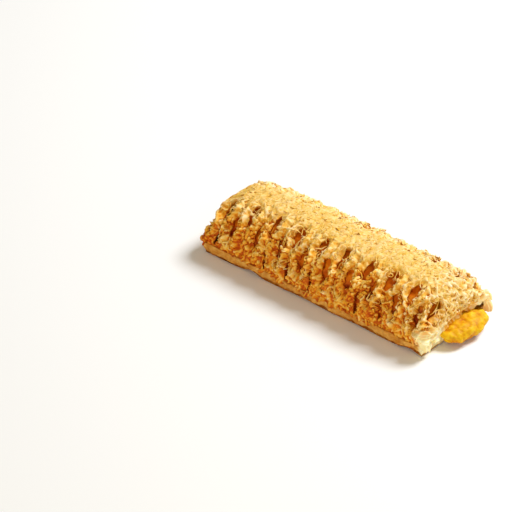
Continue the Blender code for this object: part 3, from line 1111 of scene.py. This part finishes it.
def noise_texture(tree, place, size, detail=3.0, roughness=0.55, distortion=0.0):
    node = add(tree, "ShaderNodeTexNoise", Scale=1.0 / size, Detail=detail)
    node.inputs["Roughness"].default_value = roughness
    node.inputs["Distortion"].default_value = distortion
    link(tree, place, node.inputs["Vector"])
    return node.outputs["Fac"]


def colour_ramp(tree, value, stops):
    node = add(tree, "ShaderNodeValToRGB")
    ramp = node.color_ramp
    while len(ramp.elements) < len(stops):
        ramp.elements.new(1.0)
    for element, (position, colour) in zip(ramp.elements, stops):
        element.position = position
        element.color = (*[srgb_to_linear(c) for c in colour], 1.0)
    link(tree, value, node.inputs["Fac"])
    return node.outputs["Color"]


def srgb_to_linear(value):
    value /= 255
    return value / 12.92 if value <= 0.04045 else ((value + 0.055) / 1.055) ** 2.4


def mix_colour(tree, share, a, b):
    node = add(tree, "ShaderNodeMix", data_type="RGBA")
    link(tree, share, node.inputs["Factor"])
    link(tree, a, node.inputs[6])
    link(tree, b, node.inputs[7])
    return node.outputs[2]


def shifted(tree, value, texture, strength):
    """The value, moved up and down by a noise texture."""
    swing = math_node(tree, "SUBTRACT", texture, 0.5)
    return math_node(tree, "ADD", value, math_node(tree, "MULTIPLY", swing, strength))


def tone_value(tree, place, speckle, shade_darkening):
    """The mesh's tone, with blotches and specks, and painted shade that darkens it in hidden places."""
    open_share = add(tree, "ShaderNodeAmbientOcclusion", samples=8, Distance=CREVICE_REACH).outputs["AO"]
    # Painted shade: the less open a place, the darker its tone
    hidden = math_node(tree, "MINIMUM", math_node(tree, "SUBTRACT", open_share, OPEN_ENOUGH), 0.0)
    value = shifted(tree, attribute(tree, "tone"), noise_texture(tree, place, 0.014), 0.16)
    value = math_node(tree, "ADD", value, math_node(tree, "MULTIPLY", hidden, shade_darkening))
    specks = noise_texture(tree, place, 0.0011, detail=4.0, distortion=0.6)
    return shifted(tree, value, specks, speckle)


def baked_material(
    name, stops, pale_stops, bump_size, bump_height, speckle, subsurface, shade_darkening, roughness=0.60
):
    """Food whose colour follows the tone of its relief, with blotches, specks, painted shade in hidden
    places and a fine bump.
    """
    material = bpy.data.materials.new(name)
    material.use_nodes = True
    tree = material.node_tree
    shader = tree.nodes["Principled BSDF"]
    place = add(tree, "ShaderNodeTexCoord").outputs["Object"]
    value = tone_value(tree, place, speckle, shade_darkening)
    brown = colour_ramp(tree, value, stops)
    pale = colour_ramp(tree, value, pale_stops)
    link(tree, mix_colour(tree, attribute(tree, "pale"), brown, pale), shader.inputs["Base Color"])
    gloss = noise_texture(tree, place, 0.0022, detail=2.0)
    gloss = math_node(tree, "ADD", math_node(tree, "MULTIPLY", gloss, 0.25), roughness - 0.125)
    link(tree, gloss, shader.inputs["Roughness"])
    shader.inputs["Specular IOR Level"].default_value = SPECULAR
    shader.inputs["Subsurface Weight"].default_value = subsurface
    shader.inputs["Subsurface Radius"].default_value = SCATTER_RADIUS
    shader.inputs["Subsurface Scale"].default_value = SCATTER_SCALE
    fine = noise_texture(tree, place, bump_size, detail=4.0, roughness=0.6, distortion=0.8)
    bump = add(tree, "ShaderNodeBump", Strength=BUMP_STRENGTH, Distance=bump_height)
    link(tree, fine, bump.inputs["Height"])
    link(tree, bump.outputs["Normal"], shader.inputs["Normal"])
    return material


def floor_object():
    """The plain pale floor."""
    data = bpy.data.meshes.new("floor")
    corners = [(x * FLOOR_REACH, y * FLOOR_REACH, 0) for x, y in ((-1, -1), (1, -1), (1, 1), (-1, 1))]
    data.from_pydata(corners, [], [(0, 1, 2, 3)])
    made = link_object("floor", data)
    made.location.z = -FLOOR_DROP
    material = bpy.data.materials.new("floor")
    material.use_nodes = True
    shader = material.node_tree.nodes["Principled BSDF"]
    shader.inputs["Base Color"].default_value = FLOOR_COLOUR
    shader.inputs["Roughness"].default_value = FLOOR_ROUGHNESS
    data.materials.append(material)
    return made


def area_light(name, place, size, power, colour):
    """A round light that faces the middle of the pastry's underside."""
    data = bpy.data.lights.new(name, "AREA")
    data.shape = "DISK"
    data.size = size
    data.energy = power
    data.color = colour
    light = link_object(name, data)
    light.location = place
    light.rotation_mode = "QUATERNION"
    light.rotation_quaternion = (-Vector(place)).to_track_quat("-Z", "Y")


def set_camera():
    """A long lens that sees the pastry as the photograph does, at the same place in the frame."""
    a, e = math.radians(VIEW_AZIMUTH), math.radians(VIEW_ELEVATION)
    back = Vector((math.sin(a) * math.cos(e), -math.cos(a) * math.cos(e), math.sin(e)))
    right = Vector((math.cos(a), math.sin(a), 0.0))
    up = back.cross(right)
    span = FRAME_PX / PX_PER_M
    offset_right = (REFERENCE_PX[0] - FRAME_PX / 2) / PX_PER_M
    offset_down = (REFERENCE_PX[1] - FRAME_PX / 2) / PX_PER_M
    place = REFERENCE + back * (span * LENS_MM / SENSOR_MM)
    aim = REFERENCE - right * offset_right + up * offset_down
    data = bpy.data.cameras.new("camera")
    data.lens = LENS_MM
    data.sensor_width = SENSOR_MM
    data.clip_start, data.clip_end = 0.05, 20.0
    camera = link_object("camera", data)
    camera.location = place
    camera.rotation_mode = "QUATERNION"
    # The smallest turn that puts the pastry there, so that the picture doesn't roll
    turn = (-back).rotation_difference(aim - place)
    camera.rotation_quaternion = turn @ (-back).to_track_quat("-Z", "Y")
    bpy.context.scene.camera = camera


def set_studio():
    """Soft light from all sides, a key light from behind and a low warm one from the front."""
    area_light("key", **KEY_LIGHT)
    area_light("fill", **FILL_LIGHT)
    world = bpy.data.worlds.new("studio")
    world.use_nodes = True
    background = world.node_tree.nodes["Background"]
    background.inputs["Color"].default_value = STUDIO_COLOUR
    background.inputs["Strength"].default_value = STUDIO_STRENGTH
    bpy.context.scene.world = world
    bpy.context.scene.view_settings.view_transform = "Standard"


set_camera()
crust_look = baked_material(
    "baked lattice", CRUST_STOPS, PALE_STOPS,
    bump_size=0.0012, bump_height=0.00014, speckle=0.14, subsurface=0.15, shade_darkening=1.15,
)
thread_look = baked_material(
    "dough threads", CRUST_STOPS, PALE_STOPS,
    bump_size=0.0008, bump_height=0.00005, speckle=0.10, subsurface=0.15, shade_darkening=0.90,
)
base_look = baked_material(
    "baked base", BASE_STOPS, PALE_STOPS,
    bump_size=0.0012, bump_height=0.00014, speckle=0.18, subsurface=0.10, shade_darkening=0.50,
)
cheese_look = baked_material(
    "melted cheese", CORE_STOPS, CHEESE_STOPS, roughness=0.52,
    bump_size=0.0010, bump_height=0.00014, speckle=0.22, subsurface=0.25, shade_darkening=0.12,
)

for piece, node, slot in (
    (build_crust(crust_look), "lattice_top", "crust"),
    (build_strips(THREADS, thread_look), "lattice_top", "crust"),
    (build_strips(FLAKES, thread_look), "lattice_top", "crust"),
    (build_crumbs(crust_look), "lattice_top", "crust"),
    (build_base(base_look), "base_sheet", "base_crust"),
    (build_cheese(cheese_look), "cheese_filling", "cheese"),
):
    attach(piece, "root")
    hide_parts(node)

floor_object()
set_studio()
